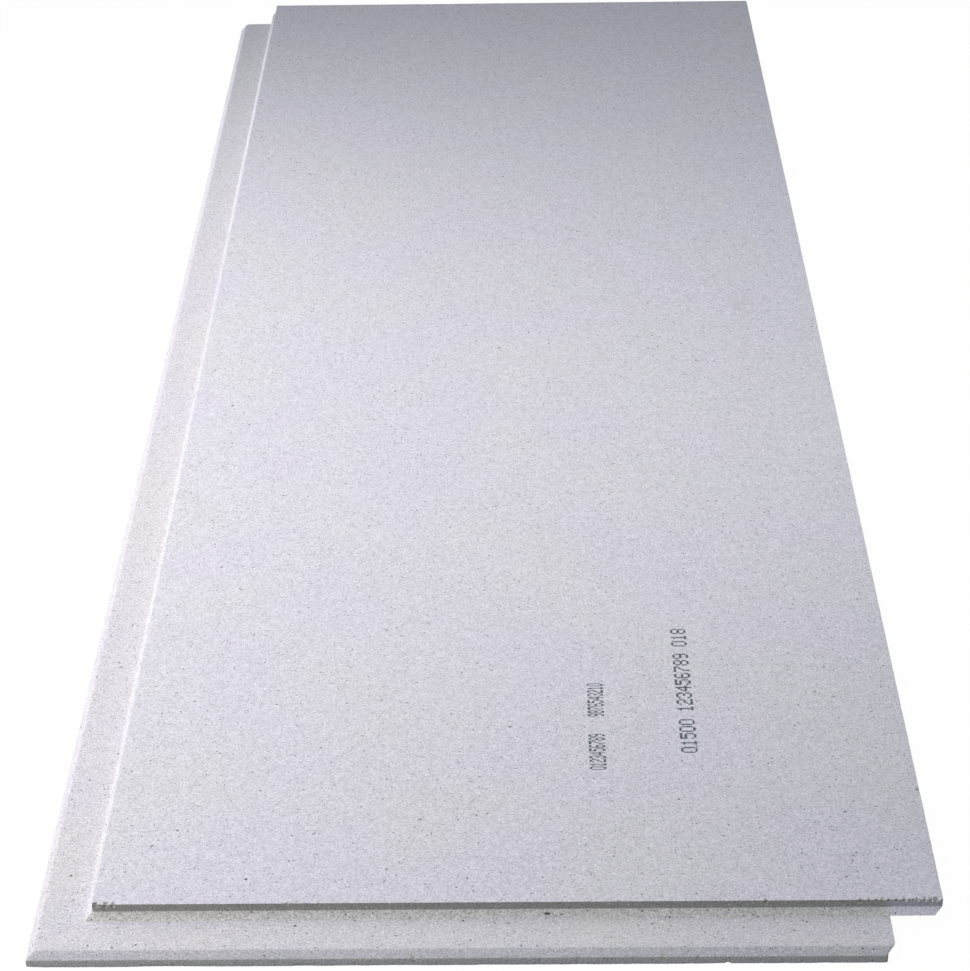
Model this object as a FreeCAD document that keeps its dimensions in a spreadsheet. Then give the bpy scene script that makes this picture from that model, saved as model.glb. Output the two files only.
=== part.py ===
"""Gypsum fibre floor board with stepped edges, as a parametric FreeCAD document.

The board lies flat: its length runs along Y, its width along X, and its underside is at Z = 0.
The origin is the middle of the underside. The board is one pressed sheet, sawn to a plain blank
and then milled along all four edges:

    left and near edges    milled from the top, which leaves a tongue at the bottom
    right and far edges    milled from the underside, which leaves a lip at the top

The lip of one board lies on the tongue of the next, so all four cuts follow one outline.
Sizes are in millimetres.
"""

import FreeCAD
import Part
import Sketcher
import os

NODE = "floor_board"
PARTS_FOLDER = "parts"
SHEET = "Sizes"

# driving sizes: alias, value, meaning
SIZES = [
    ("cover_length", 1500, "length of floor that one laid board covers"),
    ("cover_width", 500, "width of floor that one laid board covers"),
    ("thickness", 18, "whole board, from the underside to the walking face"),
    ("rebate_width", 35, "how far a lip reaches over the next board's tongue"),
    ("tongue_height", 9, "from the underside to the glue face on top of a tongue"),
    ("edge_height", 5.25, "square part of the outer edge of a tongue or a lip"),
    ("bevel_width", 4.5, "bevel on that edge, and the slope at the root that it meets"),
    ("joint_gap", 0.3, "room for glue between a tongue and the lip that lies on it"),
]

BLANK_LENGTH = f"({SHEET}.cover_length + {SHEET}.rebate_width)"
BLANK_WIDTH = f"({SHEET}.cover_width + {SHEET}.rebate_width)"

# A cutter's outline is measured inwards from the blank's outer edge (reach) and away from the
# face that the mill enters (the three depths). The cut above a tongue leaves the tongue and the
# edge of its own board's walking face; the cut under a lip leaves room for a tongue and glue.
CUT_ABOVE_TONGUE = {
    "reach": f"{SHEET}.rebate_width",
    "outer_depth": f"{SHEET}.thickness - {SHEET}.edge_height",
    "ledge_depth": f"{SHEET}.thickness - {SHEET}.tongue_height",
    "root_depth": f"{SHEET}.edge_height",
}
CUT_UNDER_LIP = {
    "reach": f"{SHEET}.rebate_width + {SHEET}.joint_gap",
    "outer_depth": f"{SHEET}.thickness - {SHEET}.edge_height",
    "ledge_depth": f"{SHEET}.tongue_height + {SHEET}.joint_gap",
    "root_depth": f"{SHEET}.edge_height + {SHEET}.joint_gap",
}

# Sketch planes: an XZ sketch is cut along Y, so it mills a long edge, and a YZ sketch a short one.
LONG_EDGE_PLANE = "XZ_Plane"
SHORT_EDGE_PLANE = "YZ_Plane"

# Rough sizes that the sketches are first drawn with, until the sheet's sizes take hold. They are
# near enough for every line to keep its side and its direction when it moves.
ROUGH_WIDTH = 500
ROUGH_LENGTH = 1500
ROUGH_REACH = 35
ROUGH_OUTER_DEPTH = 12
ROUGH_LEDGE_DEPTH = 9
ROUGH_ROOT_DEPTH = 5
ROUGH_BEVEL = 4

# names for Sketcher's numbers
START, END = 1, 2
SKETCH_ORIGIN = (-1, 1)
HALF_TURN = 180
SKETCH_X_AXIS = FreeCAD.Vector(1, 0, 0)
SKETCH_Y_AXIS = FreeCAD.Vector(0, 1, 0)


def make_sheet(doc):
    """Fill the spreadsheet that every size in the document is bound to."""
    sheet = doc.addObject("Spreadsheet::Sheet", SHEET)
    for row, (alias, value, meaning) in enumerate(SIZES, start=1):
        sheet.set(f"A{row}", alias)
        sheet.set(f"B{row}", str(value))
        sheet.set(f"C{row}", meaning)
        sheet.setAlias(f"B{row}", alias)
    doc.recompute()


def make_sketch(body, name, plane_role):
    """Attach an empty sketch to one of the body's own origin planes."""
    plane = next(feature for feature in body.Origin.OriginFeatures if feature.Role == plane_role)
    sketch = body.newObject("Sketcher::SketchObject", name)
    sketch.AttachmentSupport = [(plane, "")]
    sketch.MapMode = "FlatFace"
    return sketch


def draw_outline(sketch, corners):
    """Draw a closed outline through the corners, each line's end tied to the next one's start."""
    points = [FreeCAD.Vector(x, y, 0) for x, y in corners]
    ends = points[1:] + points[:1]
    for start, end in zip(points, ends):
        sketch.addGeometry(Part.LineSegment(start, end), False)
    count = len(points)
    for line in range(count):
        following = (line + 1) % count
        sketch.addConstraint(Sketcher.Constraint("Coincident", line, END, following, START))


def align(sketch, direction, lines):
    """Make the numbered lines horizontal or vertical."""
    for line in lines:
        sketch.addConstraint(Sketcher.Constraint(direction, line))


def bind(sketch, name, kind, start, end, value, expression):
    """Add a named distance from one line's point to another's, and bind it to the sheet."""
    index = sketch.addConstraint(Sketcher.Constraint(kind, *start, *end, value))
    sketch.renameConstraint(index, name)
    sketch.setExpression(f"Constraints.{name}", expression)


def saw_blank(body):
    """Pad the plain sheet, centred on the origin."""
    sketch = make_sketch(body, "blank_outline", "XY_Plane")
    half_width, half_length = ROUGH_WIDTH / 2, ROUGH_LENGTH / 2
    draw_outline(
        sketch,
        [
            (-half_width, -half_length),
            (half_width, -half_length),
            (half_width, half_length),
            (-half_width, half_length),
        ],
    )
    near_line, right_line, far_line, left_line = range(4)
    align(sketch, "Horizontal", [near_line, far_line])
    align(sketch, "Vertical", [right_line, left_line])
    middle = Sketcher.Constraint("Symmetric", near_line, START, far_line, START, *SKETCH_ORIGIN)
    sketch.addConstraint(middle)
    near_ends = (near_line, START), (near_line, END)
    right_ends = (right_line, START), (right_line, END)
    bind(sketch, "width", "DistanceX", *near_ends, ROUGH_WIDTH, BLANK_WIDTH)
    bind(sketch, "length", "DistanceY", *right_ends, ROUGH_LENGTH, BLANK_LENGTH)

    pad = body.newObject("PartDesign::Pad", "blank")
    pad.Profile = sketch
    pad.setExpression("Length", f"{SHEET}.thickness")
    return pad


def draw_cutter(sketch, cut):
    """Draw a cutter's outline, with its outer corner on the sketch's origin."""
    draw_outline(
        sketch,
        [
            (0, 0),
            (0, ROUGH_OUTER_DEPTH),
            (ROUGH_BEVEL, ROUGH_LEDGE_DEPTH),
            (ROUGH_REACH - ROUGH_BEVEL, ROUGH_LEDGE_DEPTH),
            (ROUGH_REACH, ROUGH_ROOT_DEPTH),
            (ROUGH_REACH, 0),
        ],
    )
    outer_line, bevel_line, ledge_line, slope_line, root_line, face_line = range(6)
    corner = Sketcher.Constraint("Coincident", outer_line, START, *SKETCH_ORIGIN)
    sketch.addConstraint(corner)
    align(sketch, "Vertical", [outer_line, root_line])
    align(sketch, "Horizontal", [ledge_line, face_line])
    outer_corner, root_corner = (outer_line, START), (root_line, END)
    edge_end, ledge_start, slope_end = (outer_line, END), (ledge_line, START), (root_line, START)
    bind(sketch, "reach", "DistanceX", outer_corner, root_corner, ROUGH_REACH, cut["reach"])
    bind(sketch, "outer_depth", "DistanceY", outer_corner, edge_end, ROUGH_OUTER_DEPTH, cut["outer_depth"])
    bind(sketch, "ledge_depth", "DistanceY", outer_corner, ledge_start, ROUGH_LEDGE_DEPTH, cut["ledge_depth"])
    bind(sketch, "root_depth", "DistanceY", root_corner, slope_end, ROUGH_ROOT_DEPTH, cut["root_depth"])
    for name, line in (("bevel", bevel_line), ("slope", slope_line)):
        bind(sketch, name, "DistanceX", (line, START), (line, END), ROUGH_BEVEL, f"{SHEET}.bevel_width")


def mill_edge(body, name, plane_role, cut, edge_position, entry_height, flip_axis):
    """Cut one stepped edge along the whole board.

    edge_position and entry_height place the sketch's origin on the blank's outer edge, in the
    face that the mill enters. Half a turn about flip_axis then points the outline into the board.
    """
    sketch = make_sketch(body, f"{name}_cutter", plane_role)
    draw_cutter(sketch, cut)
    turn = FreeCAD.Rotation(flip_axis, HALF_TURN)
    sketch.AttachmentOffset = FreeCAD.Placement(FreeCAD.Vector(0, 0, 0), turn)
    sketch.setExpression("AttachmentOffset.Base.x", edge_position)
    sketch.setExpression("AttachmentOffset.Base.y", entry_height)

    pocket = body.newObject("PartDesign::Pocket", f"{name}_rebate")
    pocket.Profile = sketch
    pocket.Type = "ThroughAll"
    pocket.SideType = "Symmetric"
    return pocket


def mill_tongue(body, name, plane_role, blank_size):
    """Mill a low-coordinate edge from the top, which leaves a tongue."""
    top = f"{SHEET}.thickness"
    edge = f"-{blank_size} / 2"
    return mill_edge(body, name, plane_role, CUT_ABOVE_TONGUE, edge, top, SKETCH_X_AXIS)


def mill_lip(body, name, plane_role, blank_size):
    """Mill a high-coordinate edge from the underside, which leaves a lip."""
    underside = "0 mm"
    edge = f"{blank_size} / 2"
    return mill_edge(body, name, plane_role, CUT_UNDER_LIP, edge, underside, SKETCH_Y_AXIS)


def make_board(doc):
    """Saw the blank and mill its four edges. Returns the body and its solid features in order."""
    body = doc.addObject("PartDesign::Body", NODE)
    body.Label = NODE
    features = [
        saw_blank(body),
        mill_tongue(body, "left_tongue", LONG_EDGE_PLANE, BLANK_WIDTH),
        mill_tongue(body, "near_tongue", SHORT_EDGE_PLANE, BLANK_LENGTH),
        mill_lip(body, "right_lip", LONG_EDGE_PLANE, BLANK_WIDTH),
        mill_lip(body, "far_lip", SHORT_EDGE_PLANE, BLANK_LENGTH),
    ]
    return body, features


def check_document(doc, body, features):
    """Stop if anything failed to build, or if a cut took nothing away."""
    for item in doc.Objects:
        if "Invalid" in item.State or "Error" in item.State:
            raise RuntimeError(f"{item.Label} did not build: {item.State}")
    for before, after in zip(features, features[1:]):
        if not after.Shape.Volume < before.Shape.Volume:
            raise RuntimeError(f"{after.Label} cut nothing")
    shape = body.Shape
    if shape.isNull() or not shape.isValid() or len(shape.Solids) != 1:
        raise RuntimeError(f"{body.Label} is not one valid solid")


def main():
    doc = FreeCAD.newDocument("FloorBoard")
    make_sheet(doc)
    body, features = make_board(doc)
    doc.recompute()
    check_document(doc, body, features)
    os.makedirs(PARTS_FOLDER, exist_ok=True)
    body.Shape.exportStep(os.path.join(PARTS_FOLDER, f"{body.Label}.step"))


main()
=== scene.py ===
import math
import random

import bmesh
import bpy
from mathutils import Matrix, Vector, noise


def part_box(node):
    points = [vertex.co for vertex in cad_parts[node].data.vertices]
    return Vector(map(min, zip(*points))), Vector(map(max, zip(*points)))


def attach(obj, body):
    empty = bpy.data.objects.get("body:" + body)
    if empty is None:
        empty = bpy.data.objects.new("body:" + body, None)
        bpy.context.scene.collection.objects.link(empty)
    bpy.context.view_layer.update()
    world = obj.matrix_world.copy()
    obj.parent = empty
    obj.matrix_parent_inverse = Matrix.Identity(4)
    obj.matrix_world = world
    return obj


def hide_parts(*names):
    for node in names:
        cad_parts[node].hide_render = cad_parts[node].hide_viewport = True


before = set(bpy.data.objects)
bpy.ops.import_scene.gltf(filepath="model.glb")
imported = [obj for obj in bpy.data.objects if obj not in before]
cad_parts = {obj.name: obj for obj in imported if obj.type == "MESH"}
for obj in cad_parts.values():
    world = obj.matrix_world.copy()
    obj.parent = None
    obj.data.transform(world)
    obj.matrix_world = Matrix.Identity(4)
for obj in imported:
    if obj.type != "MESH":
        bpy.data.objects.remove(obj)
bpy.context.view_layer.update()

# The board's sizes, in metres. The outline comes from the frame; the stepped edge repeats the
# sizes that the board is milled to.
MM = 0.001
NODE = "floor_board"
BODY = "root"
LOW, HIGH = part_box(NODE)
THICKNESS = HIGH.z - LOW.z
REBATE_WIDTH = 35 * MM
TONGUE_HEIGHT = 9 * MM
EDGE_HEIGHT = 5.25 * MM
BEVEL_WIDTH = 4.5 * MM
JOINT_GAP = 0.3 * MM

# The pressed face lies this far under the frame's top, which leaves room for ink and flecks on it.
PRINT_HEIGHT = 0.06 * MM
FACE_HEIGHT = THICKNESS - PRINT_HEIGHT

# the walking face, without the tongues
FACE_LEFT = LOW.x + REBATE_WIDTH
FACE_NEAR = LOW.y + REBATE_WIDTH


# ---------------------------------------------------------------- shader helpers


def new_material(name):
    """An empty node material, and its tree."""
    material = bpy.data.materials.new(name)
    material.use_nodes = True
    material.node_tree.nodes.clear()
    return material, material.node_tree


def add(tree, kind, settings=None, **inputs):
    """Add a node. Inputs are given by name, as values or as sockets to link from."""
    node = tree.nodes.new(kind)
    for key, value in (settings or {}).items():
        setattr(node, key, value)
    for key, value in inputs.items():
        socket = node.inputs[int(key[1:])] if key[0] == "_" else node.inputs[key.replace("_", " ")]
        if isinstance(value, bpy.types.NodeSocket):
            tree.links.new(value, socket)
        else:
            socket.default_value = value
    return node


def math_node(tree, operation, first, second=0.0, third=0.0, clamp=False):
    """The result of one sum on values or sockets."""
    settings = {"operation": operation, "use_clamp": clamp}
    return add(tree, "ShaderNodeMath", settings, _0=first, _1=second, _2=third).outputs[0]


def smooth_step(tree, value, start, end):
    """0 at start, 1 at end, eased between."""
    settings = {"interpolation_type": "SMOOTHSTEP"}
    node = add(tree, "ShaderNodeMapRange", settings, _0=value, _1=start, _2=end, _3=0.0, _4=1.0)
    return node.outputs[0]


def noise_value(tree, coordinates, feature_size, detail=2.0, roughness=0.5):
    """Noise between 0 and 1 whose blotches are about feature_size across."""
    node = add(
        tree,
        "ShaderNodeTexNoise",
        {"noise_dimensions": "3D"},
        Vector=coordinates,
        Scale=1 / feature_size,
        Detail=detail,
        Roughness=roughness,
    )
    return node.outputs["Fac"]


def add_matt(tree, colour, roughness, shine, **inputs):
    """Add a matt surface of the given colour, and the material output it goes to."""
    if not isinstance(colour, bpy.types.NodeSocket):
        colour = (*colour, 1.0)
    inputs.update(Base_Color=colour, Roughness=roughness)
    surface = add(tree, "ShaderNodeBsdfPrincipled", **inputs)
    surface.inputs["Specular IOR Level"].default_value = shine
    add(tree, "ShaderNodeOutputMaterial", Surface=surface.outputs[0])


def blend_colour(tree, factor, first, second, mode="MIX"):
    """Mix two colours, given as sockets or as (r, g, b)."""
    node = tree.nodes.new("ShaderNodeMix")
    node.data_type = "RGBA"
    node.blend_type = mode
    for name, value in (("Factor_Float", factor), ("A_Color", first), ("B_Color", second)):
        socket = next(item for item in node.inputs if item.identifier == name)
        if isinstance(value, bpy.types.NodeSocket):
            tree.links.new(value, socket)
        elif name == "Factor_Float":
            socket.default_value = value
        else:
            socket.default_value = (*value, 1.0)
    return next(item for item in node.outputs if item.identifier == "Result_Color")


# ---------------------------------------------------------------- materials


def speck_mask(tree, coordinates, spacing, largest, share):
    """Round specks scattered one to a cell: 1 inside a speck, 0 between specks.

    spacing is a cell's size and largest the biggest speck's radius; share is how many cells
    have a speck.
    """
    settings = {"feature": "F1"}
    cells = add(tree, "ShaderNodeTexVoronoi", settings, Vector=coordinates, Scale=1 / spacing)
    split = add(tree, "ShaderNodeSeparateColor", Color=cells.outputs["Color"])
    present = smooth_step(tree, split.outputs["Red"], 1 - share, 1 - share + 0.02)
    size = math_node(tree, "POWER", split.outputs["Green"], 2.0)
    radius = math_node(tree, "MULTIPLY_ADD", size, 0.7 * largest / spacing, 0.3 * largest / spacing)
    inside = math_node(tree, "DIVIDE", cells.outputs["Distance"], radius)
    inside = math_node(tree, "SUBTRACT", 1.0, smooth_step(tree, inside, 0.6, 1.1))
    return math_node(tree, "MULTIPLY", inside, present)


SMUDGE_MIDDLE = (210 * MM, 48 * MM)
SMUDGE_REACH = (13 * MM, 30 * MM)


def smudge_mask(tree, place):
    """A faint worn-in stain on the walking face, right of the middle."""
    parts = add(tree, "ShaderNodeSeparateXYZ", Vector=place)
    ragged = noise_value(tree, place, 9 * MM, detail=2.0, roughness=0.7)
    across = math_node(tree, "SUBTRACT", parts.outputs[0], SMUDGE_MIDDLE[0])
    along = math_node(tree, "SUBTRACT", parts.outputs[1], SMUDGE_MIDDLE[1])
    across = math_node(tree, "DIVIDE", across, SMUDGE_REACH[0])
    along = math_node(tree, "DIVIDE", along, SMUDGE_REACH[1])
    squared = math_node(tree, "MULTIPLY", across, across)
    squares = math_node(tree, "MULTIPLY_ADD", along, along, squared)
    spread_out = math_node(tree, "SUBTRACT", 1.0, smooth_step(tree, squares, 0.1, 1.3))
    return math_node(tree, "MULTIPLY", spread_out, smooth_step(tree, ragged, 0.35, 0.65))


def gypsum_fibre():
    """Pressed gypsum with paper fibres: cool grey faces, and rougher, duller milled cuts, whose
    faces carry painted shade and light.
    """
    material, tree = new_material("gypsum_fibre")
    place = add(tree, "ShaderNodeTexCoord").outputs["Object"]
    torn = add(tree, "ShaderNodeAttribute", {"attribute_name": "torn"}).outputs["Fac"]
    tone_and_painted_light = add(tree, "ShaderNodeAttribute", {"attribute_name": "tone_and_painted_light"}).outputs["Fac"]

    # broad clouds, some cooler and some more neutral
    clouds = smooth_step(tree, noise_value(tree, place, 95 * MM, detail=2.0), 0.38, 0.62)
    colour = blend_colour(tree, clouds, (0.694, 0.681, 0.760), (0.698, 0.690, 0.742))
    colour = blend_colour(tree, torn, colour, (0.703, 0.690, 0.650))
    # painted shade and light: each face's brightness value, partly the cut's own tone, darkens or
    # lightens it for how the face is lit
    colour = blend_colour(tree, 1.0, colour, tone_and_painted_light, "MULTIPLY")

    # mottling and grain, stronger where the surface is torn
    mottle = noise_value(tree, place, 5.5 * MM, detail=2.0, roughness=0.6)
    grain = noise_value(tree, place, 1.25 * MM, detail=2.0, roughness=0.8)
    strength = math_node(tree, "MULTIPLY_ADD", torn, 0.90, 1.32)
    tone = math_node(tree, "MULTIPLY", math_node(tree, "SUBTRACT", grain, 0.5), strength)
    tone = math_node(tree, "MULTIPLY_ADD", math_node(tree, "SUBTRACT", mottle, 0.5), 0.20, tone)
    colour = blend_colour(tree, 1.0, colour, math_node(tree, "ADD", tone, 1.0), "MULTIPLY")

    # dark pinpoints of printed paper, and near-white pinpoints
    dark_points = speck_mask(tree, place, 2.6 * MM, 0.80 * MM, 0.42)
    pale_points = speck_mask(tree, place, 2.7 * MM, 0.65 * MM, 0.50)
    dark_share = math_node(tree, "MULTIPLY", dark_points, 0.80)
    pale_share = math_node(tree, "MULTIPLY", pale_points, 0.95)
    colour = blend_colour(tree, dark_share, colour, (0.22, 0.23, 0.27))
    colour = blend_colour(tree, pale_share, colour, (0.97, 0.97, 0.99))
    stain = math_node(tree, "MULTIPLY", smudge_mask(tree, place), 0.18)
    colour = blend_colour(tree, stain, colour, (0.40, 0.36, 0.31))

    # relief: a pressed face is nearly flat, a milled cut shows torn fibres
    depth = math_node(tree, "MULTIPLY_ADD", torn, 1.6, 0.8)
    height = math_node(tree, "MULTIPLY", grain, depth)
    bump = add(tree, "ShaderNodeBump", Strength=0.6, Distance=0.2 * MM, Height=height)

    add_matt(tree, colour, roughness=0.85, shine=0.25, Normal=bump.outputs[0])
    return material


def pale_pinpoints():
    """Near-white pinpoints that show in the pressed face."""
    material, tree = new_material("pale_pinpoints")
    add_matt(tree, (0.96, 0.96, 0.98), roughness=0.8, shine=0.3)
    return material


def printing_ink():
    """Thin blue-grey jet ink, paler where it has soaked in."""
    material, tree = new_material("printing_ink")
    place = add(tree, "ShaderNodeTexCoord").outputs["Object"]
    soaked = smooth_step(tree, noise_value(tree, place, 3.0 * MM, detail=3.0), 0.35, 0.70)
    colour = blend_colour(tree, soaked, (0.070, 0.082, 0.108), (0.145, 0.162, 0.200))
    add_matt(tree, colour, roughness=0.8, shine=0.25)
    return material


def paper_flecks():
    """Bits of printed paper from the pulp, from slate to dark grey."""
    material, tree = new_material("paper_flecks")
    place = add(tree, "ShaderNodeTexCoord").outputs["Object"]
    shade = smooth_step(tree, noise_value(tree, place, 6.0 * MM, detail=1.0), 0.35, 0.65)
    colour = blend_colour(tree, shade, (0.065, 0.070, 0.092), (0.180, 0.168, 0.172))
    add_matt(tree, colour, roughness=0.85, shine=0.2)
    return material


# ---------------------------------------------------------------- the board's section

# The skin is built as closed rings round the board, from the underside up to the walking face.
# The near and left sides follow the tongue's section and the right and far sides the lip's. Both
# sections have the same number of corners, each pair at one height, so every ring is level.

NEAR, RIGHT, FAR, LEFT = range(4)
TONGUE_SIDES = (NEAR, LEFT)
ARRIS = 0.22 * MM          # how far a worn arris is rounded
CAP_WIDTH = 5 * MM         # strip of face beside the edge that has the edge's fine mesh

LIP_HEIGHT = TONGUE_HEIGHT + JOINT_GAP
EDGE_TOP = EDGE_HEIGHT + JOINT_GAP
NOSE_HEIGHT = THICKNESS - EDGE_HEIGHT
RECESS = REBATE_WIDTH + JOINT_GAP
ROOT = REBATE_WIDTH - BEVEL_WIDTH
BEVEL_SLOPE = BEVEL_WIDTH / (TONGUE_HEIGHT - EDGE_HEIGHT)
GAP_RUN = JOINT_GAP * BEVEL_SLOPE

# distance in from the blank's edge, and height
TONGUE_SECTION = [
    (CAP_WIDTH, 0.0),
    (0.0, 0.0),
    (0.0, EDGE_HEIGHT),
    (GAP_RUN, EDGE_TOP),
    (BEVEL_WIDTH, TONGUE_HEIGHT),
    (ROOT, TONGUE_HEIGHT),
    (ROOT + GAP_RUN, LIP_HEIGHT),
    (ROOT + GAP_RUN, LIP_HEIGHT),
    (REBATE_WIDTH, NOSE_HEIGHT),
    (REBATE_WIDTH, FACE_HEIGHT),
    (REBATE_WIDTH + CAP_WIDTH, FACE_HEIGHT),
]
LIP_SECTION = [
    (RECESS + CAP_WIDTH, 0.0),
    (RECESS, 0.0),
    (RECESS, EDGE_HEIGHT),
    (RECESS, EDGE_TOP),
    (RECESS - BEVEL_WIDTH + GAP_RUN, TONGUE_HEIGHT),
    (RECESS - BEVEL_WIDTH + GAP_RUN, TONGUE_HEIGHT),
    (RECESS - BEVEL_WIDTH, LIP_HEIGHT),
    (BEVEL_WIDTH, LIP_HEIGHT),
    (0.0, NOSE_HEIGHT),
    (0.0, FACE_HEIGHT),
    (CAP_WIDTH, FACE_HEIGHT),
]

# How many steps each span between two corners has. Then, for the near side's tongue, the left
# side's tongue and the two lips: how torn each span's surface is, and its brightness. The
# brightness is partly the cut's own tone and partly painted shade and light for how each face is
# lit: painted shade darkens the near upright wall (0.55) and the lips' upright walls (0.80), and
# painted light lifts the near slope (1.05).
SPAN_STEPS = (3, 4, 1, 4, 6, 1, 4, 4, 5, 4)
NEAR_LOOK = [
    (0.0, 1.0),
    (0.7, 0.96),
    (0.15, 1.0),
    (0.15, 1.0),
    (0.2, 0.99),
    (0.8, 1.05),
    (0.8, 1.05),
    (0.8, 1.05),
    (1.0, 0.55),
    (0.0, 1.0),
]
LEFT_LOOK = [
    (0.0, 1.0),
    (0.5, 1.0),
    (0.1, 0.98),
    (0.1, 0.98),
    (0.15, 0.965),
    (0.1, 0.97),
    (0.1, 0.97),
    (0.1, 0.97),
    (0.2, 1.0),
    (0.0, 1.0),
]
LIP_LOOK = [
    (0.0, 1.0),
    (1.0, 0.80),
    (1.0, 0.80),
    (0.8, 1.0),
    (0.8, 1.0),
    (0.8, 1.0),
    (0.4, 1.0),
    (0.6, 1.0),
    (0.9, 0.80),
    (0.0, 1.0),
]
WEAR_REACH = 0.7 * MM      # how far from an arris its wear fades out


def spread(steps):
    """Fractions along a span, closer together at its two ends."""
    return [0.5 - 0.5 * math.cos(math.pi * step / steps) for step in range(steps + 1)]


def section_points(corners, looks):
    """Points of a section: (inset, height, torn, bright, sharp).

    Every span keeps its own look up to where the rounding of its arrises starts. Between two
    spans lies one more point, on the rounded arris itself.
    """
    corners = [Vector(corner) for corner in corners]
    points, arrises = [], []
    for span, (start, end) in enumerate(zip(corners, corners[1:])):
        length = (end - start).length
        along = (end - start).normalized() if length > 0 else Vector((0, 0))
        worn = min(ARRIS, 0.4 * length)
        first = start + along * (0 if span == 0 else worn)
        final = end - along * (0 if span == len(looks) - 1 else worn)
        for fraction in spread(SPAN_STEPS[span]):
            points.append((first.lerp(final, fraction), looks[span]))
        if span == len(looks) - 1:
            break
        beyond = corners[span + 2] - end
        ahead = beyond.normalized() if beyond.length > 0 else Vector((0, 0))
        turn = along.x * ahead.y - along.y * ahead.x
        middle = end + (ahead - along) * (min(worn, 0.4 * beyond.length) / 4) if turn else end
        mean = [(one + other) / 2 for one, other in zip(looks[span], looks[span + 1])]
        points.append((middle, mean))
        arrises.append((end, max(0.0, -turn)))
    finished = []
    for point, look in points:
        sharp = max(
            turn * math.exp(-(point - arris).length / WEAR_REACH) for arris, turn in arrises
        )
        finished.append((*point, *look, sharp))
    return finished


# ---------------------------------------------------------------- wear

# Small breaks along the arrises: side, which arris, distance along it from the side's start,
# length along it, and how deep. The start is the left end of the walking face's near side, or the
# near end of a long side. All in millimetres.
CHIPS = [
    (NEAR, "face", 1.5, 5.0, 3.0),
    (NEAR, "face", 8.3, 3.8, 2.2),
    (NEAR, "face", 13.0, 3.0, 1.5),
    (NEAR, "face", 115.5, 2.8, 1.3),
    (NEAR, "face", 134.0, 3.0, 0.7),
    (NEAR, "face", 310.0, 2.6, 1.0),
    (NEAR, "face", 396.5, 2.6, 1.9),
    (RIGHT, "face", 107.0, 3.6, 1.4),
    (RIGHT, "face", 640.0, 3.0, 0.8),
    (LEFT, "face", 420.0, 3.0, 0.7),
    (NEAR, "outer_top", 190.0, 3.5, 0.5),
    (NEAR, "outer_top", 335.0, 4.0, 0.5),
    (NEAR, "base", 499.0, 12.0, 1.3),
    (NEAR, "base", 372.0, 4.0, 0.6),
]
CRUMBLED_FROM, CRUMBLED_TO = 452.0, 498.5    # a stretch of the near arris that has crumbled

# How far the corners are rounded in plan, below and above the step.
CORNER_ROUNDING = {
    (LEFT, NEAR): (1.0 * MM, 0.6 * MM),
    (RIGHT, NEAR): (2.2 * MM, 1.0 * MM),
    (RIGHT, FAR): (1.0 * MM, 2.4 * MM),
    (LEFT, FAR): (4.5 * MM, 1.2 * MM),
}


def all_chips():
    """The listed chips, and the many small ones of the crumbled stretch."""
    chips = list(CHIPS)
    chance = random.Random(11)
    place = CRUMBLED_FROM
    while place < CRUMBLED_TO:
        chips.append((NEAR, "face", place, chance.uniform(1.5, 3.6), chance.uniform(0.9, 2.2)))
        place += chance.uniform(2.2, 5.2)
    return chips


def chip_place(side, arris, distance):
    """Where a chip sits, and the direction in which it eats into the board."""
    inset, height, rise = {
        "face": (REBATE_WIDTH, FACE_HEIGHT, -1.0),
        "outer_top": (0.0, EDGE_HEIGHT, -1.0),
        "base": (0.0, 0.0, 1.0),
    }[arris]
    if side == NEAR:
        place = Vector((FACE_LEFT + distance * MM, LOW.y + inset, height))
        return place, Vector((0, 1, rise)).normalized()
    if side == LEFT:
        place = Vector((LOW.x + inset, FACE_NEAR + distance * MM, height))
        return place, Vector((1, 0, rise)).normalized()
    place = Vector((HIGH.x, FACE_NEAR + distance * MM, height))
    return place, Vector((-1, 0, rise)).normalized()


def chip_shift(point, chips):
    """How far the chips move a point of the surface."""
    shift = Vector((0, 0, 0))
    for centre, inward, reach, depth in chips:
        offset = (point - centre).length
        if offset > 1.5 * reach:
            continue
        jagged = 1.0 + 0.45 * noise.noise(point * 900.0) + 0.25 * noise.noise(point * 2300.0)
        distance = offset / (reach * jagged)
        if distance < 1.0:
            shift += inward * (depth * min(1.0, 2.2 * (1.0 - distance)))
    return shift


def wear_shift(point, normal, torn, sharp):
    """Slight unevenness of a cut face, and crumbling where the surface turns sharply."""
    wavy = 0.5 - 0.5 * noise.noise(point * 60.0)
    rough = 0.5 - 0.5 * noise.noise(point * 420.0)
    crumb = max(0.0, noise.noise(point * 250.0 + Vector((7, 3, 5))))
    bite = max(0.0, noise.noise(point * 75.0 + Vector((2, 9, 4))) - 0.25)
    depth = torn * (0.06 * wavy + 0.08 * rough) + sharp * (0.05 + 0.35 * crumb + 0.6 * bite)
    if point.z < 1 * MM:
        depth += sharp * 1.4 * max(0.0, noise.noise(point * 16.0 + Vector((4, 1, 8))))
    return -normal * (depth * MM)


# The near cut is cleaner past the tongue's end, and painted light makes it paler there; painted
# light also makes the left tongue paler towards its far end. The values for a wall, a slope or a
# ledge are shares of painted light added to its brightness.
PAST_END_RUN = 6 * MM
PAINTED_LIGHT_WALL, PAINTED_LIGHT_SLOPE = 0.60, 0.22
CLEAN_TORN = 0.8           # share taken off how torn the near cut is past the tongue's end
FAR_LIGHT_FROM, FAR_LIGHT_RUN = 150 * MM, 500 * MM    # along the board, from its middle
FAR_LIGHT_SLOPE, FAR_LIGHT_LEDGE = 0.42, 0.07


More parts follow.
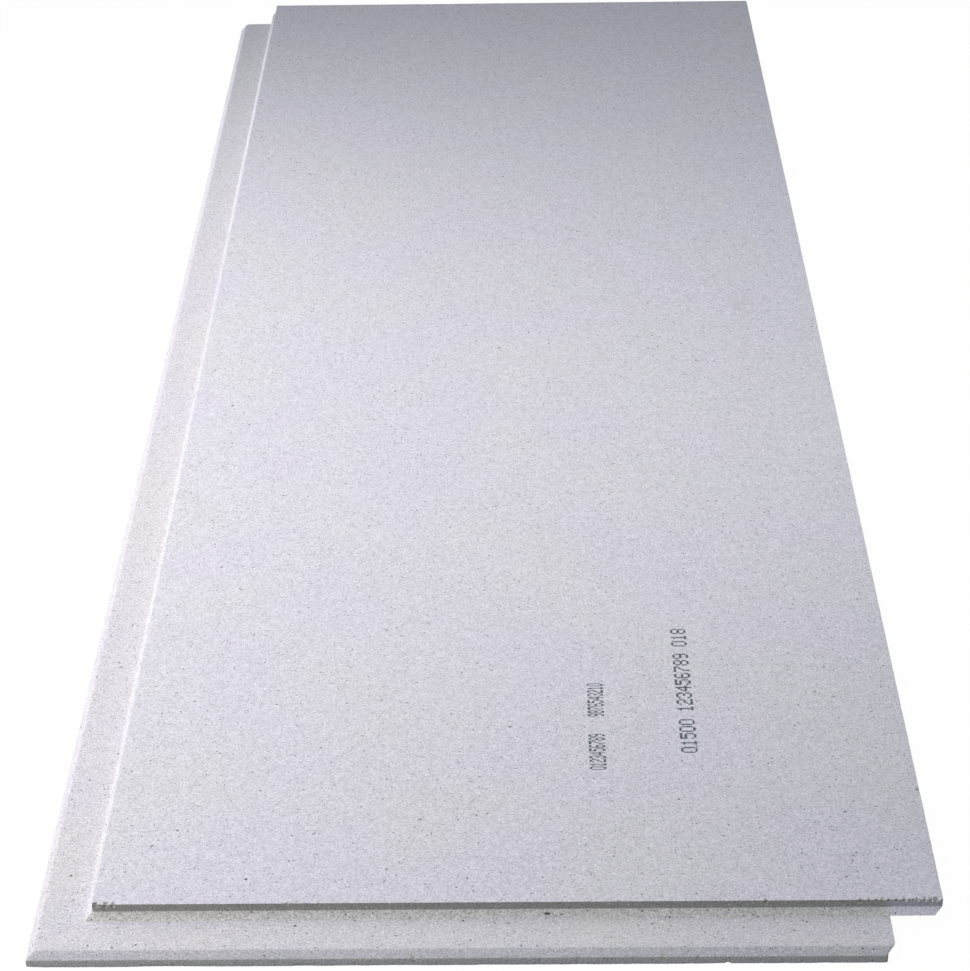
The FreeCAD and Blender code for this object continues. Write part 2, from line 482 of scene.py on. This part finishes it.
def past_tongue(point):
    """How far a point of the near cut lies past the tongue's end: 0 before it, 1 well past it."""
    on_cut = TONGUE_HEIGHT < point.z < FACE_HEIGHT - ARRIS / 2
    if not on_cut or point.y > LOW.y + REBATE_WIDTH + 2 * MM:
        return 0.0
    return min(1.0, max(0.0, (point.x - (HIGH.x - REBATE_WIDTH)) / PAST_END_RUN))


def far_painted_light(point, normal):
    """How much painted light makes the left tongue paler towards its far end, most of all on its
    slopes.
    """
    if point.x > FACE_LEFT + ARRIS or point.z > FACE_HEIGHT - ARRIS / 2:
        return 1.0
    share = min(1.0, max(0.0, (point.y - FAR_LIGHT_FROM) / FAR_LIGHT_RUN))
    return 1.0 + share * (FAR_LIGHT_SLOPE if normal.x < -0.3 else FAR_LIGHT_LEDGE)


# a section's corners that make its outline, below and above the step
BELOW_STEP, ABOVE_STEP = slice(1, 5), slice(7, 10)


def outline_inset(side, height):
    """How far in from the blank's edge the board's outline lies on a side, at a height."""
    section = TONGUE_SECTION if side in TONGUE_SIDES else LIP_SECTION
    above_step = height > (TONGUE_HEIGHT + LIP_HEIGHT) / 2
    corners = section[ABOVE_STEP] if above_step else section[BELOW_STEP]
    for (inset, low), (following, high) in zip(corners, corners[1:]):
        if height <= high:
            share = (height - low) / (high - low) if high > low else 0.0
            return inset + (following - inset) * max(0.0, share)
    return corners[-1][0]


def round_corners(point):
    """Move a point that lies outside a rounded corner of the outline on to the rounding."""
    height = point.z
    above_step = height > (TONGUE_HEIGHT + LIP_HEIGHT) / 2
    for (side, end), radii in CORNER_ROUNDING.items():
        radius = radii[above_step]
        across = point.x - LOW.x if side == LEFT else HIGH.x - point.x
        along = point.y - LOW.y if end == NEAR else HIGH.y - point.y
        if across > REBATE_WIDTH + CAP_WIDTH or along > REBATE_WIDTH + CAP_WIDTH:
            continue
        from_side = radius - (across - outline_inset(side, height))
        from_end = radius - (along - outline_inset(end, height))
        if from_side <= 0 or from_end <= 0 or math.hypot(from_side, from_end) <= radius:
            continue
        kept = radius / math.hypot(from_side, from_end)
        point.x += (1 if side == LEFT else -1) * from_side * (1 - kept)
        point.y += (1 if end == NEAR else -1) * from_end * (1 - kept)
    return point


# ---------------------------------------------------------------- the board

# How far apart the sections are along each side, at the least, and beside a corner.
SIDE_STEP = {NEAR: 1.5 * MM, RIGHT: 5.0 * MM, FAR: 5.0 * MM, LEFT: 3.0 * MM}
LEAST_STEP = 0.3 * MM
CORNER_STEPS = (0.5, 1.0, 1.6, 2.4, 3.2, 4.0, 4.8)    # in millimetres from the corner
WELD_DISTANCE = 0.002 * MM
SHORTEST_EDGE = 0.0005 * MM
SHARP_ANGLE = math.radians(15)


def side_places(side, sections, chips):
    """Where along a side the section is repeated: evenly, and also at chips and corners."""
    crosswise = side in (NEAR, FAR)
    low, high = (LOW.x, HIGH.x) if crosswise else (LOW.y, HIGH.y)
    start_side, end_side = (LEFT, RIGHT) if crosswise else (NEAR, FAR)
    exact = set()
    for point in sections[start_side]:
        exact.add(low + point[0])
    for point in sections[end_side]:
        exact.add(high - point[0])
    loose = []
    count = round((high - low) / SIDE_STEP[side])
    for index in range(1, count):
        loose.append(low + (high - low) * index / count)
    for chip_side, _, distance, reach, _ in chips:
        if chip_side != side:
            continue
        middle = low + REBATE_WIDTH + distance * MM
        for fifth in range(-4, 5):
            loose.append(middle + 0.2 * fifth * reach * MM)
    for inset in (0.0, REBATE_WIDTH):
        for step in CORNER_STEPS:
            loose.append(low + inset + step * MM)
            loose.append(high - inset - step * MM)
    kept = sorted(exact)
    for place in sorted(loose):
        if all(abs(place - other) > LEAST_STEP for other in kept) and low < place < high:
            kept.append(place)
    return sorted(kept)


def ring_points(index, sections, places):
    """One closed ring, through the same point of all four sides' sections."""
    left = LOW.x + sections[LEFT][index][0]
    right = HIGH.x - sections[RIGHT][index][0]
    near = LOW.y + sections[NEAR][index][0]
    far = HIGH.y - sections[FAR][index][0]
    outline = [
        (NEAR, [(min(max(x, left), right), near) for x in places[NEAR]]),
        (RIGHT, [(right, min(max(y, near), far)) for y in places[RIGHT]]),
        (FAR, [(min(max(x, left), right), far) for x in reversed(places[FAR])]),
        (LEFT, [(left, min(max(y, near), far)) for y in reversed(places[LEFT])]),
    ]
    ring = []
    for side, run in outline:
        _, height, torn, tone_and_painted_light, sharp = sections[side][index]
        ring.extend((x, y, height, torn, tone_and_painted_light, sharp) for x, y in run)
    return ring


def board_skin(sections, places):
    """The whole skin as one closed bmesh, before any wear."""
    build = bmesh.new()
    layers = [build.verts.layers.float.new(name) for name in ("torn", "tone_and_painted_light", "sharp")]
    rings = []
    for index in range(len(sections[NEAR])):
        ring = []
        for x, y, height, *look in ring_points(index, sections, places):
            vertex = build.verts.new((x, y, height))
            for layer, value in zip(layers, look):
                vertex[layer] = value
            ring.append(vertex)
        rings.append(ring)
    for lower, upper in zip(rings, rings[1:]):
        for index, vertex in enumerate(lower):
            following = (index + 1) % len(lower)
            build.faces.new((vertex, lower[following], upper[following], upper[index]))
    build.faces.new(list(reversed(rings[0])))
    build.faces.new(rings[-1])
    bmesh.ops.remove_doubles(build, verts=build.verts, dist=WELD_DISTANCE)
    bmesh.ops.dissolve_degenerate(build, edges=build.edges, dist=SHORTEST_EDGE)
    build.normal_update()
    return build, layers


def make_board(material):
    """The worn board."""
    chip_list = all_chips()
    lip = section_points(LIP_SECTION, LIP_LOOK)
    sections = {
        NEAR: section_points(TONGUE_SECTION, NEAR_LOOK),
        RIGHT: lip,
        FAR: lip,
        LEFT: section_points(TONGUE_SECTION, LEFT_LOOK),
    }
    places = {side: side_places(side, sections, chip_list) for side in range(4)}
    build, (torn_layer, tone_and_painted_light_layer, sharp_layer) = board_skin(sections, places)

    chips = [
        (*chip_place(side, arris, distance), 0.5 * reach * MM, depth * MM)
        for side, arris, distance, reach, depth in chip_list
    ]
    moved = []
    for vertex in build.verts:
        point = vertex.co.copy()
        shift = wear_shift(point, vertex.normal, vertex[torn_layer], vertex[sharp_layer])
        close = [chip for chip in chips if (point - chip[0]).length_squared < (1.5 * chip[2]) ** 2]
        if close:
            shift += chip_shift(point, close)
            vertex[torn_layer] = max(vertex[torn_layer], min(1.0, shift.length / (0.3 * MM)))
        # past the tongue's end the near cut is less torn, and painted light makes its wall and
        # slope paler
        past_end = past_tongue(point)
        on_wall = point.z > THICKNESS - EDGE_HEIGHT
        vertex[torn_layer] *= 1.0 - CLEAN_TORN * past_end
        vertex[tone_and_painted_light_layer] *= 1.0 + past_end * (PAINTED_LIGHT_WALL if on_wall else PAINTED_LIGHT_SLOPE)
        # painted light: the left tongue paler towards its far end, most of all on its slopes
        vertex[tone_and_painted_light_layer] *= far_painted_light(point, vertex.normal)
        moved.append(round_corners(point) + shift)
    for vertex, point in zip(build.verts, moved):
        point.z = max(0.0, min(FACE_HEIGHT, point.z))
        vertex.co = point
    for face in build.faces:
        face.smooth = True
    build.verts.layers.float.remove(sharp_layer)
    mesh = bpy.data.meshes.new("board")
    build.to_mesh(mesh)
    build.free()
    mesh.materials.append(material)
    mesh.set_sharp_from_angle(angle=SHARP_ANGLE)
    piece = bpy.data.objects.new("board", mesh)
    bpy.context.scene.collection.objects.link(piece)
    return piece


# ---------------------------------------------------------------- printed numbers

# Seven rows of five dots to a digit, as an ink jet prints them.
DIGITS = {
    "0": ("01110", "10001", "10001", "10001", "10001", "10001", "01110"),
    "1": ("00100", "01100", "00100", "00100", "00100", "00100", "01110"),
    "2": ("01110", "10001", "00001", "00110", "01000", "10000", "11111"),
    "3": ("01110", "10001", "00001", "00110", "00001", "10001", "01110"),
    "4": ("00010", "00110", "01010", "10010", "11111", "00010", "00010"),
    "5": ("11111", "10000", "11110", "00001", "00001", "10001", "01110"),
    "6": ("01110", "10000", "10000", "11110", "10001", "10001", "01110"),
    "7": ("11111", "00001", "00010", "00100", "01000", "01000", "01000"),
    "8": ("01110", "10001", "10001", "01110", "10001", "10001", "01110"),
    "9": ("01110", "10001", "10001", "01111", "00001", "00001", "01110"),
}

# Each line of print runs away from the near end. Where its foot starts, from the walking face's
# left and near edges; its height; and how far apart its dot columns are. All in millimetres.
PRINT_LINES = [
    ("01500 123456789 018", 364.6, 147.6, 8.9, 1.26),
    ("0123456789", 306.2, 130.0, 8.9, 0.65),
    ("9876543210", 306.5, 187.4, 8.9, 0.64),
]
COLUMNS_TO_A_DIGIT = 6
ROWS_APART = 6             # steps between the first and the last row of dots
DOT_WIDTH, DOT_LENGTH = 1.25, 1.12    # a dot's size, as a share of the distance between dots


def dot_places(text, foot, start, height, column):
    """The ink dots of one line of print, as (centre, size, tilt)."""
    row = height * MM / ROWS_APART
    dots = []
    for number, character in enumerate(text):
        for row_index, pattern in enumerate(DIGITS.get(character, ())):
            for column_index, dot in enumerate(pattern):
                if dot == "0":
                    continue
                steps = number * COLUMNS_TO_A_DIGIT + column_index
                across = FACE_LEFT + foot * MM - (ROWS_APART - row_index) * row
                along = FACE_NEAR + (start + steps * column) * MM
                size = (DOT_WIDTH * row, DOT_LENGTH * column * MM, 1.0)
                dots.append(((across, along, FACE_HEIGHT), size, (0.0, 0.0, 0.0)))
    return dots


# ---------------------------------------------------------------- geometry nodes


def group_input(group, name, kind):
    """Add a named input to a geometry nodes group."""
    group.interface.new_socket(name=name, in_out="INPUT", socket_type=kind)


def start_group(name, inputs):
    """A geometry nodes group with the given inputs, and one geometry output."""
    group = bpy.data.node_groups.new(name, "GeometryNodeTree")
    group_input(group, "Geometry", "NodeSocketGeometry")
    for label, kind in inputs:
        group_input(group, label, kind)
    group.interface.new_socket(name="Geometry", in_out="OUTPUT", socket_type="NodeSocketGeometry")
    return group, group.nodes.new("NodeGroupInput").outputs


def finish_group(group, instances, material):
    """Make the instances real, give them their material, and send them out."""
    real = add(group, "GeometryNodeRealizeInstances", Geometry=instances)
    painted = add(group, "GeometryNodeSetMaterial", Geometry=real.outputs[0], Material=material)
    out = group.nodes.new("NodeGroupOutput")
    group.links.new(painted.outputs[0], out.inputs[0])


def random_value(group, seed, low, high):
    """A random number for every point."""
    node = add(group, "FunctionNodeRandomValue", {"data_type": "FLOAT"}, Seed=seed)
    for socket, value in ((node.inputs[2], low), (node.inputs[3], high)):
        if isinstance(value, bpy.types.NodeSocket):
            group.links.new(value, socket)
        else:
            socket.default_value = value
    return node.outputs[1]


def dot_group():
    """Puts a flat disc on every point, as large and as tilted as the point's own values say."""
    inputs = [
        ("Thickness", "NodeSocketFloat"),
        ("Least share", "NodeSocketFloat"),
        ("Seed", "NodeSocketInt"),
        ("Material", "NodeSocketMaterial"),
    ]
    group, given = start_group("flat_dots", inputs)
    disc = add(group, "GeometryNodeMeshCylinder", Vertices=10, Radius=0.5, Depth=1.0)
    vector = {"data_type": "FLOAT_VECTOR"}
    size = add(group, "GeometryNodeInputNamedAttribute", vector, Name="dot_size")
    tilt = add(group, "GeometryNodeInputNamedAttribute", vector, Name="dot_tilt")
    share = random_value(group, given["Seed"], given["Least share"], 1.1)
    parts = add(group, "ShaderNodeSeparateXYZ", Vector=size.outputs[0])
    scale = add(
        group,
        "ShaderNodeCombineXYZ",
        X=math_node(group, "MULTIPLY", parts.outputs[0], share),
        Y=math_node(group, "MULTIPLY", parts.outputs[1], share),
        Z=given["Thickness"],
    )
    dots = add(
        group,
        "GeometryNodeInstanceOnPoints",
        Points=given["Geometry"],
        Instance=disc.outputs["Mesh"],
        Rotation=tilt.outputs[0],
        Scale=scale.outputs[0],
    )
    finish_group(group, dots.outputs[0], given["Material"])
    return group


# How upright a face has to be to carry flecks: anywhere, and in the band under the board's top,
# where only a level face will do.
FLECK_UPRIGHT, FLECK_LEVEL = 0.6, 0.99998
TOP_BAND = 1.0 * MM


def fleck_group():
    """Scatters thin flat flecks over those faces of a skin that look upwards."""
    inputs = [
        ("Density", "NodeSocketFloat"),
        ("Shortest", "NodeSocketFloat"),
        ("Longest", "NodeSocketFloat"),
        ("Slenderness", "NodeSocketFloat"),
        ("Thickness", "NodeSocketFloat"),
        ("Seed", "NodeSocketInt"),
        ("Material", "NodeSocketMaterial"),
    ]
    group, given = start_group("flecks", inputs)
    points = add(
        group,
        "GeometryNodeDistributePointsOnFaces",
        {"distribute_method": "RANDOM"},
        Mesh=given["Geometry"],
        Density=given["Density"],
        Seed=given["Seed"],
    )
    # flecks lie on faces that look upwards, and only on level ones at the top, clear of the
    # board's outermost edges
    place = add(group, "GeometryNodeInputPosition")
    part = add(group, "ShaderNodeSeparateXYZ", Vector=place.outputs[0])
    middle = (LOW + HIGH) / 2
    margin = math_node(group, "MULTIPLY", given["Longest"], 0.55)
    upright = add(group, "ShaderNodeSeparateXYZ", Vector=points.outputs["Normal"])
    near_top = math_node(group, "GREATER_THAN", part.outputs[2], THICKNESS - TOP_BAND)
    stricter = FLECK_LEVEL - FLECK_UPRIGHT
    least_upright = math_node(group, "MULTIPLY_ADD", near_top, stricter, FLECK_UPRIGHT)
    beside = math_node(group, "ABSOLUTE", math_node(group, "SUBTRACT", part.outputs[0], middle.x))
    ahead = math_node(group, "ABSOLUTE", math_node(group, "SUBTRACT", part.outputs[1], middle.y))
    beside, ahead = math_node(group, "ADD", beside, margin), math_node(group, "ADD", ahead, margin)
    outside = math_node(group, "GREATER_THAN", beside, HIGH.x - middle.x)
    beyond = math_node(group, "GREATER_THAN", ahead, HIGH.y - middle.y)
    below = math_node(group, "LESS_THAN", upright.outputs[2], least_upright)
    barred = math_node(group, "MAXIMUM", math_node(group, "MAXIMUM", outside, beyond), below)
    kept = add(
        group,
        "GeometryNodeDeleteGeometry",
        {"domain": "POINT"},
        Geometry=points.outputs["Points"],
        Selection=barred,
    )
    evenly = random_value(group, given["Seed"], 0.0, 1.0)
    mostly_short = math_node(group, "POWER", evenly, 2.5)
    extra = math_node(group, "SUBTRACT", given["Longest"], given["Shortest"])
    length = math_node(group, "MULTIPLY_ADD", mostly_short, extra, given["Shortest"])
    slender = random_value(group, given["Seed"], 1.0, given["Slenderness"])
    width = math_node(group, "DIVIDE", length, slender)
    scale = add(group, "ShaderNodeCombineXYZ", X=length, Y=width, Z=given["Thickness"])
    turn = random_value(group, given["Seed"], 0.0, math.tau)
    about_normal = add(group, "ShaderNodeCombineXYZ", X=0.0, Y=0.0, Z=turn)
    aligned = add(
        group,
        "FunctionNodeRotateRotation",
        {"rotation_space": "LOCAL"},
        Rotation=points.outputs["Rotation"],
        Rotate_By=about_normal.outputs[0],
    )
    chip = add(group, "GeometryNodeMeshCylinder", Vertices=6, Radius=0.5, Depth=1.0)
    flecks = add(
        group,
        "GeometryNodeInstanceOnPoints",
        Points=kept.outputs[0],
        Instance=chip.outputs["Mesh"],
        Rotation=aligned.outputs[0],
        Scale=scale.outputs[0],
    )
    finish_group(group, flecks.outputs[0], given["Material"])
    return group


def grow(name, source, group, values):
    """A new piece: the geometry nodes group's result on the source mesh, as a plain mesh."""
    piece = bpy.data.objects.new(name, source)
    bpy.context.scene.collection.objects.link(piece)
    modifier = piece.modifiers.new("build", "NODES")
    modifier.node_group = group
    for item in group.interface.items_tree:
        if item.in_out == "INPUT" and item.name in values:
            modifier[item.identifier] = values[item.name]
    graph = bpy.context.evaluated_depsgraph_get()
    graph.update()
    mesh = bpy.data.meshes.new_from_object(piece.evaluated_get(graph))
    piece.modifiers.remove(modifier)
    piece.data = mesh
    return piece


def make_dots(name, dots, group, material):
    """One piece of thin closed discs, from (centre, size, tilt) for each."""
    points = bpy.data.meshes.new(f"{name}_places")
    points.from_pydata([place for place, _, _ in dots], [], [])
    sizes = points.attributes.new("dot_size", "FLOAT_VECTOR", "POINT")
    tilts = points.attributes.new("dot_tilt", "FLOAT_VECTOR", "POINT")
    for index, (_, size, tilt) in enumerate(dots):
        sizes.data[index].vector = size
        tilts.data[index].vector = tilt
    values = {"Thickness": 2 * PRINT_HEIGHT, "Least share": 0.85, "Seed": 4, "Material": material}
    return grow(name, points, group, values)


# Larger dark marks: place across and along from the middle of the board, which face they lie on,
# and their size across and along. All in millimetres.
MARKS = [
    (35.5, -734.7, "root slope", 3.8, 1.5),
    (-66.7, -751.6, "ledge", 1.3, 1.1),
    (-14.0, -738.4, "ledge", 1.4, 1.3),
    (12.0, -741.0, "ledge", 1.2, 0.9),
    (-9.5, -756.0, "ledge", 1.2, 1.2),
    (20.0, -761.0, "ledge", 1.0, 1.6),
    (-204.0, -758.5, "ledge", 1.3, 1.5),
    (-250.5, -694.0, "ledge", 1.5, 1.6),
    (-252.0, -598.0, "ledge", 1.2, 1.4),
    (-246.0, -420.0, "ledge", 1.4, 1.2),
    (150.0, -746.0, "ledge", 1.2, 1.0),
    (-189.0, -662.0, "face", 1.6, 1.6),
    (-60.0, -700.5, "face", 1.5, 1.3),
    (76.0, -690.0, "face", 1.6, 1.4),
    (118.0, -634.0, "face", 1.7, 1.6),
]


def mark_dots():
    """The larger dark marks as (centre, size, tilt)."""
    slope_angle = math.atan2(NOSE_HEIGHT - TONGUE_HEIGHT, BEVEL_WIDTH)
    dots = []
    for across, along, face, width, length in MARKS:
        height = FACE_HEIGHT if face == "face" else TONGUE_HEIGHT
        tilt = 0.0
        if face == "root slope":
            height = TONGUE_HEIGHT + (along * MM - LOW.y - ROOT) * math.tan(slope_angle)
            tilt = slope_angle
        size = (width * MM, length * MM, 1.0)
        dots.append(((across * MM, along * MM, height), size, (tilt, 0.0, 0.0)))
    return dots


def make_flecks(name, skin, group, density, shortest, longest, slenderness, seed, material):
    """One kind of fleck, scattered over the board. Density is per square metre, sizes in metres."""
    values = {
        "Density": density,
        "Shortest": shortest,
        "Longest": longest,
        "Slenderness": slenderness,
        "Thickness": 1.2 * PRINT_HEIGHT,
        "Seed": seed,
        "Material": material,
    }
    return grow(name, skin, group, values)


# ---------------------------------------------------------------- stage

FLOOR_REACH = 20.0         # from the middle of the floor to its edges, in metres

# Area lamps: place, the point it faces, size, power in watts, and colour. The left lamp is the
# main one.
LAMPS = {
    "left_lamp": ((-0.788, -0.451, 0.430), (-0.426, -0.565, 0.0), 2.01, 19.3, (1.02, 0.98, 0.945)),
    "right_lamp": ((0.366, -0.215, 0.722), (-0.456, 1.113, 0.0), 0.60, 1.1, (1.0, 1.0, 1.0)),
}

CAMERA_PLACE = (20.3 * MM, LOW.y - 1211.8 * MM, 1031.4 * MM)
CAMERA_YAW, CAMERA_TILT, CAMERA_ROLL = math.radians(0.81), math.radians(59.65), math.radians(-0.873)
SENSOR_WIDTH, FOCAL_LENGTH = 36.0, 100.35    # in millimetres, as Blender takes them


def seen_directly(tree):
    """1 for what the camera sees, also in a mirror or through glass, and 0 for other light."""
    path = add(tree, "ShaderNodeLightPath")
    seen = math_node(tree, "ADD", path.outputs["Is Camera Ray"], path.outputs["Is Glossy Ray"])
    return math_node(tree, "ADD", seen, path.outputs["Is Transmission Ray"], clamp=True)


def make_floor():
    """A plain floor that the camera sees as white, so the board's shadow hardly shows on it."""
    material, tree = new_material("pale_floor")
    seen = seen_directly(tree)
    lift = math_node(tree, "MULTIPLY", seen, 0.90)
    matt = add(tree, "ShaderNodeBsdfDiffuse", Color=(0.30, 0.30, 0.30, 1.0))
    glow = add(tree, "ShaderNodeEmission", Color=(1.0, 1.0, 1.0, 1.0), Strength=1.085)
    mixed = add(tree, "ShaderNodeMixShader", _0=lift, _1=matt.outputs[0], _2=glow.outputs[0])
    add(tree, "ShaderNodeOutputMaterial", Surface=mixed.outputs[0])
    reach = FLOOR_REACH
    mesh = bpy.data.meshes.new("floor")
    corners = [(-reach, -reach, 0), (reach, -reach, 0), (reach, reach, 0), (-reach, reach, 0)]
    mesh.from_pydata(corners, [], [(0, 1, 2, 3)])
    mesh.materials.append(material)
    floor = bpy.data.objects.new("floor", mesh)
    bpy.context.scene.collection.objects.link(floor)


def aim(thing, target):
    """Turn a lamp to face a point."""
    thing.rotation_euler = (Vector(target) - thing.location).to_track_quat("-Z", "Y").to_euler()


def make_lamp(name, place, target, size, watts, colour):
    """One square soft lamp."""
    data = bpy.data.lights.new(name, "AREA")
    data.size = size
    data.energy = watts
    data.color = colour
    lamp = bpy.data.objects.new(name, data)
    lamp.location = place
    aim(lamp, target)
    lamp.visible_camera = False
    bpy.context.scene.collection.objects.link(lamp)


def make_world():
    """Faint even light from all round, and white where the camera sees past the floor."""
    world = bpy.data.worlds.new("studio")
    world.use_nodes = True
    tree = world.node_tree
    tree.nodes.clear()
    seen = seen_directly(tree)
    fill = add(tree, "ShaderNodeBackground", Color=(0.90, 1.0, 1.13, 1.0), Strength=0.235)
    white = add(tree, "ShaderNodeBackground", Color=(1.0, 1.0, 1.0, 1.0), Strength=1.0)
    mixed = add(tree, "ShaderNodeMixShader", _0=seen, _1=fill.outputs[0], _2=white.outputs[0])
    add(tree, "ShaderNodeOutputWorld", Surface=mixed.outputs[0])
    bpy.context.scene.world = world


def make_camera():
    """Looks down along the board, from in front of its near end."""
    data = bpy.data.cameras.new("camera")
    data.sensor_width = SENSOR_WIDTH
    data.lens = FOCAL_LENGTH
    camera = bpy.data.objects.new("camera", data)
    camera.location = CAMERA_PLACE
    yaw = Matrix.Rotation(CAMERA_YAW, 3, "Z")
    tilt = Matrix.Rotation(CAMERA_TILT, 3, "X")
    roll = Matrix.Rotation(CAMERA_ROLL, 3, "Z")
    camera.rotation_euler = (yaw @ tilt @ roll).to_euler()
    bpy.context.scene.collection.objects.link(camera)
    bpy.context.scene.camera = camera


# ---------------------------------------------------------------- build

make_camera()
make_floor()
make_world()
for lamp_name, lamp_values in LAMPS.items():
    make_lamp(lamp_name, *lamp_values)

board = make_board(gypsum_fibre())
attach(board, BODY)
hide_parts(NODE)

scatter, dots = fleck_group(), dot_group()
flecked, pale = paper_flecks(), pale_pinpoints()
printed = [dot for line in PRINT_LINES for dot in dot_places(*line)]
added = [
    make_dots("printed_numbers", printed, dots, printing_ink()),
    make_dots("dark_marks", mark_dots(), dots, flecked),
    make_flecks("paper_specks", board.data, scatter, 4800, 0.65 * MM, 1.75 * MM, 1.7, 3, flecked),
    make_flecks("pale_pinpoint_flecks", board.data, scatter, 5200, 0.5 * MM, 1.2 * MM, 1.5, 8, pale),
    make_flecks("paper_fibres", board.data, scatter, 220, 2.2 * MM, 5.0 * MM, 12.0, 5, flecked),
]
for piece in added:
    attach(piece, BODY)

bpy.context.scene.view_settings.view_transform = "Standard"
